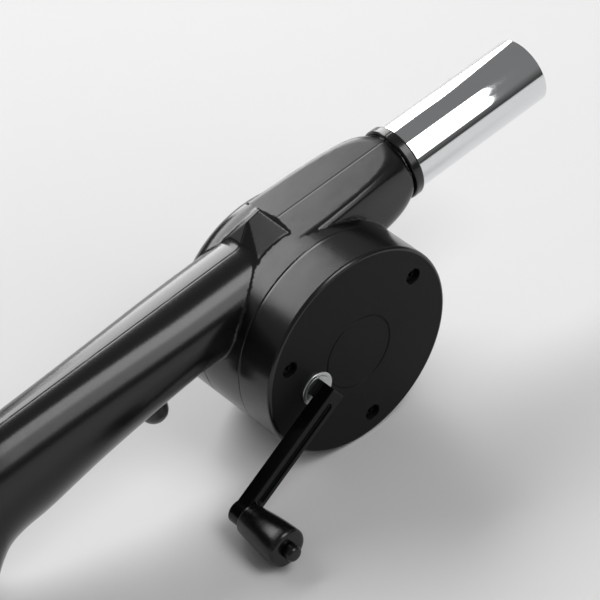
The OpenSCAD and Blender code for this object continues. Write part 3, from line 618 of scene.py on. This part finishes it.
# What each real surface is, and what that gives the eye
FINISHES = {
    # ABS moulded in a finely textured tool: black with a broad soft sheen
    "shell_plastic": dict(name="abs_moulded_satin", colour="#0b0b0c", second="#0e0e0f",
                          roughness=0.21, spread=0.05, grain=0.35, relief=0.003, sink=0.05),
    # ABS from a spark-eroded tool: an even dull face
    "cover_plastic": dict(name="abs_moulded_spark_eroded", colour="#0d0d0e", second="#101011",
                          roughness=0.50, spread=0.06, grain=0.3, relief=0.008, sink=0.01,
                          **{"Specular IOR Level": 0.15}),
    # Nylon moulded in a polished tool: deep black with sharp edge lights
    "crank_plastic": dict(name="nylon_moulded_semigloss", colour="#050506", second="#080809",
                          roughness=0.20, spread=0.03, grain=0.5, relief=0.002, sink=0.02,
                          **{"Specular IOR Level": 0.25}),
    # Polypropylene moulded in a polished tool: a waxy gloss
    "knob_plastic": dict(name="polypropylene_moulded_gloss", colour="#070708", second="#0a0a0b",
                         roughness=0.24, spread=0.04, grain=0.6, relief=0.003, sink=0.02,
                         IOR=1.49),
    # Polypropylene straight from the tool: dark and waxy
    "impeller_plastic": dict(name="polypropylene_moulded_dull", colour="#36383b",
                             second="#3c3e41", roughness=0.5, spread=0.06, grain=0.4,
                             relief=0.01, IOR=1.49),
    # Natural nylon: milky and a little see-through
    "gear_nylon": dict(name="nylon_moulded_natural", colour="#dbd8ca", second="#cfcbb9",
                       roughness=0.42, spread=0.05, grain=0.4, relief=0.006, IOR=1.53),
    # Steel tube, polished along its length and bright chrome plated: a near mirror
    "tube_chrome": dict(name="steel_chrome_plated", colour="#e3e4e6", second="#dcdee0",
                        roughness=0.05, spread=0.02, grain=0.5, relief=0.0006,
                        stretch=(0.02, 1, 1), Metallic=1.0),
    # Turned steel, bright zinc plated: white, with fine turning marks
    "bush_plate": dict(name="steel_zinc_plated", colour="#e6e7e8", second="#d6d8da",
                       roughness=0.30, spread=0.06, grain=0.3, relief=0.004, Metallic=1.0),
    # Steel ground to size: grey and finely scratched round its length
    "shaft_steel": dict(name="steel_ground", colour="#b3b6ba", second="#a4a7ab",
                        roughness=0.30, spread=0.08, grain=0.3, relief=0.002,
                        stretch=(1, 0.1, 1), Metallic=1.0),
    # Sintered bronze: dull, porous and oily
    "bush_bronze": dict(name="bronze_sintered", colour="#a8793f", second="#8f6632",
                        roughness=0.46, spread=0.08, grain=0.25, relief=0.012, Metallic=1.0),
    # Steel blackened in hot salts: dark with an oily shine
    "screw_steel": dict(name="steel_black_oxide", colour="#161617", second="#101011",
                        roughness=0.42, spread=0.08, grain=0.3, relief=0.004, Metallic=0.85),
}
made_finishes = {}


def coated(slot):
    """The material of one of the record's slots, made once."""
    if slot not in made_finishes:
        made_finishes[slot] = finish(**FINISHES[slot])
    return made_finishes[slot]


def size(name, description, mm):
    """A length that the panel shows."""
    return bpy.props.FloatProperty(name=name, description=description, default=mm * MM,
                                   precision=5, subtype="DISTANCE", unit="LENGTH")


class FanShells(bpy.types.PropertyGroup):
    """Sizes of the two shells."""
    edge: size("Edge", "Rounding of the shells' outer edges", 0.3)
    fillet: size("Fillet", "Fillet where handle and neck meet the drum", 0.35)
    guard_fillet: size("Guard fillet", "Fillet round the foot of the thumb guard", 1.6)
    ridge: size("Ridge", "Rounding of the thumb guard's ridges", 0.5)
    neck_edge: size("Neck edge", "Rounding of the long edges of the neck's flat top", 0.4)
    cell: size("Cell", "Spacing of the mesh on plain stretches", 0.92)


class FanCover(bpy.types.PropertyGroup):
    """Sizes of the gear cover."""
    edge: size("Edge", "Rounding of the cover's small edges", 0.15)
    rim: size("Rim", "Rounding of the edge round the face", 1.2)
    ring_radius: size("Ring radius", "Radius of the plain ring pressed into the face", 14)
    ring_width: size("Ring width", "Width of that ring's groove", 0.7)


class FanCrank(bpy.types.PropertyGroup):
    """Sizes of the crank's arm and knob."""
    edge: size("Edge", "Rounding of the arm's edges", 0.3)
    channel: size("Channel", "Width of the channel along the arm", 3.2)
    channel_deep: size("Channel depth", "Depth of the channel along the arm", 1.0)
    knob_edge: size("Knob edge", "Rounding of the knob's outer end", 1.8)
    head_edge: size("Head edge", "Rounding of the pin's button head", 1.3)


class FanStage(bpy.types.PropertyGroup):
    """Colours and lights of the studio."""
    paper: bpy.props.FloatVectorProperty(
        name="Paper", description="Colour of the paper that the fan lies on",
        default=linear("#d0d0d0")[:3], size=3, subtype="COLOR", min=0, max=1)
    key: bpy.props.FloatProperty(
        name="Key light", description="Power of the round soft box high behind the fan",
        default=32.0, unit="POWER")
    side: bpy.props.FloatProperty(
        name="Side light", description="Power of the tall soft box behind the tube",
        default=18.0, unit="POWER")
    top: bpy.props.FloatProperty(
        name="Top light", description="Power of the soft box above the camera",
        default=11.0, unit="POWER")
    front: bpy.props.FloatProperty(
        name="Front light", description="Power of the soft box beside the camera",
        default=5.4, unit="POWER")
    room: bpy.props.FloatProperty(
        name="Room", description="Brightness of the room overhead", default=0.22, min=0)


class FAN_OT_shells(bpy.types.Operator):
    """Moulds the left and the right shell"""
    bl_idname = "fan.shells"
    bl_label = "Shells"

    def execute(self, context):
        look = context.scene.fan_shells
        gap = look.cell / MM * 1
        lines_x = spaced((-HANDLE_LEN - 0.63, gap * 1.15), (-20.3, gap * 0.6), (4.7, gap * 0.75),
                         (COLLAR_X - 0.42, gap * 0.3), (SEAT_START + 0.11, gap * 0.6),
                         (COLLAR_END - 1.03, gap * 0.3), (COLLAR_END + 0.41, 0))
        lines_z = spaced((-DRUM_R - 0.57, gap), (22.3, gap * 0.7), (GUARD_TOP + 0.73, 0))
        for name, make, side, depth, edge_band in (
                ("left_shell", left_moulding, 1, BACK_DEPTH, BACK_ROUND),
                ("right_shell", right_moulding, -1, SEAM_DEPTH, 1.3)):
            lines_y = spaced((-0.17, gap * 0.28), (1.13, gap * 0.9),
                             (depth - edge_band, gap * 0.5), (depth + 0.37, 0))
            solid = contour(make(look), (lines_x, lines_y, lines_z))
            link(mesh_of(name + "_moulding", placed(solid, side)),
                 "housing", "shell_plastic", name)
        return {"FINISHED"}


class FAN_OT_cover(bpy.types.Operator):
    """Moulds the gear cover"""
    bl_idname = "fan.cover"
    bl_label = "Gear cover"

    def execute(self, context):
        look = context.scene.fan_cover
        gap = 0.9
        angles = np.linspace(0, 2 * pi, int(330 / gap), endpoint=False)
        ring_r, rim = look.ring_radius / MM, look.rim / MM
        radii = spaced((0.11, gap), (ring_r - 0.9, 0.17), (ring_r + 0.9, gap),
                       (27.4, gap * 0.6), (INNER_R - rim, gap * 0.4), (DRUM_R + 0.47, 0))
        depths = spaced((SEAM_DEPTH - 2.37, gap * 0.8), (FACE_DEPTH - WALL + 0.31, gap * 0.45),
                        (FACE_DEPTH - 1.13, gap * 0.24), (FACE_DEPTH + 0.43, 0))
        solid = contour(cover_moulding(look), (angles, radii, depths), polar=True)
        x, y, z = solid[0][solid[2]].mean(1).T
        side = (np.hypot(x, z) > DRUM_R - rim) | (y < FACE_DEPTH - RECESS_D)
        mesh = mesh_of("gear_cover_moulding", placed(solid, -1))
        link(mesh, "housing", "cover_plastic", "gear_cover")
        mesh.materials.append(coated("shell_plastic"))
        mesh.polygons.foreach_set("material_index", side.astype(np.int32))
        return {"FINISHED"}


class FAN_OT_crank(bpy.types.Operator):
    """Moulds the crank's arm and spins its knob, pin and bush"""
    bl_idname = "fan.crank"
    bl_label = "Crank"

    def execute(self, context):
        look = context.scene.fan_crank
        gap = 0.3
        lines = (spaced((-3.61, gap), (THROW + 4.93, 0)),
                 spaced((ARM_IN - 0.37, gap * 2), (FACE_DEPTH, gap), (ARM_OUT + 0.33, 0)),
                 spaced((-4.87, gap), (4.87, 0)))
        solid = contour(crank_moulding(look), lines)
        turn = atan2(*(KNOB_AT - CRANK_AT)[::-1])
        link(mesh_of("crank_arm_moulding", placed(solid, -1, CRANK_AT, turn)), "crank",
             "crank_plastic", "crank_arm")

        near, far = PARTING_Y - knob_high[1], PARTING_Y - knob_low[1]
        bore, knob_r = KNOB_PIN_R + RUN_FIT, (knob_high[0] - knob_low[0]) / 2
        link(turned("crank_knob_moulding", [
            [bore, near, 0], [KNOB_R_NEAR, near, 0.6],
            [knob_r - 0.3, near + (far - near) * 0.6, 4],
            [knob_r, far, look.knob_edge / MM], [bore, far, 0.15]], KNOB_AT, "Y"),
            "knob", "knob_plastic", "crank_knob")

        head_r = (pin_high[0] - pin_low[0]) / 2
        foot, top = PARTING_Y - pin_high[1], PARTING_Y - pin_low[1]
        link(turned("knob_pin_button", [
            [0, foot, 0], [KNOB_PIN_R, foot, 0.3], [KNOB_PIN_R, far + 0.35, 0],
            [head_r, far + 0.35, 0.2],
            [head_r, top, look.head_edge / MM], [0, top, 0]], KNOB_AT, "Y", 64),
            "crank", "knob_plastic", "knob_pin")

        bush_bore = SLEEVE_R + RUN_FIT
        flange_r, flange_top = CRANK_AT[0] - bush_low[0], PARTING_Y - bush_low[1]
        link(turned("crank_bush_flanged", [
            [bush_bore, BUSH_END, 0.2], [CRANK_BUSH_R, BUSH_END, 0.2],
            [CRANK_BUSH_R, FACE_DEPTH, 0], [flange_r, FACE_DEPTH, 0],
            [flange_r, flange_top, 0.2], [bush_bore, flange_top, 0.2]],
            CRANK_AT, "Y"), "housing", "bush_plate", "crank_bush")
        return {"FINISHED"}


class FAN_OT_tube(bpy.types.Operator):
    """Spins the outlet tube"""
    bl_idname = "fan.tube"
    bl_label = "Outlet tube"

    def execute(self, context):
        inner, wall = SPIGOT_R - TUBE_WALL, TUBE_WALL
        bead = SPIGOT_START + 2 * WALL + STOP_GAP
        step, stop = SEAT_START + STOP_GAP, COLLAR_END + STOP_GAP
        seat_r = TUBE_R - SEAT_SWAGE
        profile = [
            [inner, SPIGOT_START, 0], [SPIGOT_R, SPIGOT_START, 0.2], [SPIGOT_R, bead, 0],
            [SPIGOT_R + BEAD, bead + BEAD, 0.3], [SPIGOT_R, bead + 2 * BEAD, 0],
            [SPIGOT_R, step, 0.3], [TUBE_R - wall, step, 0.3], [seat_r, step + wall, 0.3],
            [seat_r, stop, 0], [TUBE_R, stop, 0.1], [TUBE_R, TUBE_END, 0.3],
            [TUBE_R - wall, TUBE_END, 0.3], [TUBE_R - wall, step + 2 * wall, 0.3],
            [inner, step + wall, 0.3]]
        link(turned("outlet_tube_drawn", profile, (0, TUBE_Z), "X", 192), "housing", "tube_chrome",
             "outlet_tube")
        return {"FINISHED"}


class FAN_OT_screws(bpy.types.Operator):
    """Cuts the cross-headed screws of cover and shells"""
    bl_idname = "fan.screws"
    bl_label = "Screws"

    def execute(self, context):
        gap = 0.17
        cover_seat = FACE_DEPTH - RECESS_D
        for name, side, groups in (
                ("cover_screws", -1, ((cover_seat, CUP_END - THREAD, COVER_SCREWS),)),
                ("shell_screws", 1, ((DRUM_SEAT, -THREAD, DRUM_SCREWS),
                                     (GRIP_SEAT, -THREAD, GRIP_SCREWS)))):
            solids = []
            for seat, end, places in groups:
                across = spaced((-2.61, gap), (2.63, 0))
                along = spaced((end - 0.33, gap), (seat + HEAD_H + 0.31, 0))
                solid = contour(screw(seat, seat - end), (across, along, across))
                solids += [placed(solid, side, at) for at in places]
            link(mesh_of(name + "_cross_headed", *solids), "housing", "screw_steel", name)
        return {"FINISHED"}


class FAN_OT_works(bpy.types.Operator):
    """Finishes the CAD parts that keep their own shape"""
    bl_idname = "fan.works"
    bl_label = "Works"

    def execute(self, context):
        for part in frame["record"]["subparts"]:
            piece = frame["nodes"][part["node"]]
            if not piece.hide_render:
                piece.data.materials.clear()
                piece.data.materials.append(coated(part["material_slot"]))
        return {"FINISHED"}


class FAN_OT_stage(bpy.types.Operator):
    """Sets up the paper, the soft boxes and the camera"""
    bl_idname = "fan.stage"
    bl_label = "Stage"

    def execute(self, context):
        look, scene = context.scene.fan_stage, context.scene
        floor = bpy.data.meshes.new("paper_sweep")
        reach, lean, drop = 4.0, 0.11, -39.8 * MM
        sheet_corners = ((-reach, -reach), (reach, -reach), (reach, reach), (-reach, reach))
        floor.from_pydata([(x, y, drop - lean * x) for x, y in sheet_corners], [], [(0, 1, 2, 3)])
        sweep = bpy.data.objects.new("paper_sweep", floor)
        scene.collection.objects.link(sweep)
        paper = bpy.data.materials.new("paper_matt_white")
        paper.use_nodes = True
        tree = paper.node_tree
        tree.nodes.clear()
        place = node(tree, "ShaderNodeTexCoord").outputs["Object"]
        fibre = node(tree, "ShaderNodeTexNoise", {"Vector": place, "Scale": 1 / (0.8 * MM)})
        bump = node(tree, "ShaderNodeBump", {
            "Height": fibre.outputs["Fac"], "Distance": 0.01 * MM})
        surface = node(tree, "ShaderNodeBsdfPrincipled", {
            "Base Color": [*look.paper, 1], "Roughness": 0.9, "Normal": bump.outputs[0],
            "Specular IOR Level": 0.2})
        node(tree, "ShaderNodeOutputMaterial", {"Surface": surface.outputs[0]})
        floor.materials.append(paper)

        for name, shape, at, tilt, width, height, power in (
                ("key_box", "ELLIPSE", (-0.09, 1.2, 1.2), 90, 1.87, 1.01, look.key),
                ("side_box", "RECTANGLE", (0.62, 1.2, 0.67), 90, 0.66, 1.34, look.side),
                ("top_box", "RECTANGLE", (0.60, -0.82, 1.37), -31, 0.8, 0.80, look.top),
                ("front_box", "RECTANGLE", (0.60, -1.38, 0.81), -59.5, 0.8, 0.83, look.front)):
            lamp = bpy.data.lights.new(name, "AREA")
            lamp.shape, lamp.size, lamp.size_y, lamp.energy = shape, width, height, power
            box = bpy.data.objects.new(name, lamp)
            box.location = at
            box.rotation_euler = (-radians(tilt), 0, 0)
            scene.collection.objects.link(box)

        world = bpy.data.worlds.new("studio_room")
        world.use_nodes = True
        tree = world.node_tree
        tree.nodes.clear()
        rays = node(tree, "ShaderNodeLightPath")
        way = node(tree, "ShaderNodeSeparateXYZ", {
            0: node(tree, "ShaderNodeTexCoord").outputs["Generated"]})
        dim = node(tree, "ShaderNodeMapRange", {
            "Value": way.outputs["Z"], "From Max": 0.34, "To Min": look.room * 0.3,
            "To Max": look.room})
        room = node(tree, "ShaderNodeBackground", {
            "Color": linear("#ffffff"), "Strength": dim.outputs[0]})
        white = node(tree, "ShaderNodeBackground", {"Color": linear("#e9e9e9"), "Strength": 1.0})
        seen = node(tree, "ShaderNodeMixShader", {
            0: rays.outputs["Is Camera Ray"], 1: room.outputs[0], 2: white.outputs[0]})
        node(tree, "ShaderNodeOutputWorld", {"Surface": seen.outputs[0]})
        scene.world = world

        camera = bpy.data.cameras.new("camera")
        camera.lens, camera.sensor_width = 180, 36
        camera.clip_start, camera.clip_end = 0.05, 20
        seat = bpy.data.objects.new("camera", camera)
        right = Vector((0.7426, -0.6539, -0.1447)).normalized()
        back = Vector((-0.3875, -0.5957, 0.7036))
        back = (back - right * back.dot(right)).normalized()
        turn = Matrix((right, back.cross(right), back)).transposed()
        seat.matrix_world = Matrix.Translation((-0.39734, -0.6354, 0.72725)) @ turn.to_4x4()
        scene.collection.objects.link(seat)
        scene.camera = seat
        scene.view_settings.view_transform = "Standard"
        return {"FINISHED"}


class FAN_PT_panel(bpy.types.Panel):
    """Lists the fan's pieces and their sizes"""
    bl_idname = "FAN_PT_panel"
    bl_label = "Hand crank fan"
    bl_space_type = "VIEW_3D"
    bl_region_type = "UI"
    bl_category = "Hand crank fan"

    def draw(self, context):
        for operator in OPERATORS:
            self.layout.operator(operator.bl_idname)
        for name in GROUPS:
            box = self.layout.box()
            group = getattr(context.scene, name)
            for prop in group.bl_rna.properties.keys()[2:]:
                box.prop(group, prop)


GROUPS = {"fan_shells": FanShells, "fan_cover": FanCover, "fan_crank": FanCrank,
          "fan_stage": FanStage}
OPERATORS = [FAN_OT_shells, FAN_OT_cover, FAN_OT_crank, FAN_OT_tube, FAN_OT_screws, FAN_OT_works,
             FAN_OT_stage]


def register():
    for made in [*GROUPS.values(), *OPERATORS, FAN_PT_panel]:
        bpy.utils.register_class(made)
    for name, group in GROUPS.items():
        setattr(bpy.types.Scene, name, bpy.props.PointerProperty(type=group))


def unregister():
    for name in GROUPS:
        delattr(bpy.types.Scene, name)
    for made in [FAN_PT_panel, *reversed(OPERATORS), *GROUPS.values()]:
        bpy.utils.unregister_class(made)


def main():
    register()
    for operator in OPERATORS:
        group, name = operator.bl_idname.split(".")
        getattr(getattr(bpy.ops, group), name)()


if __name__ == "__main__":
    main()
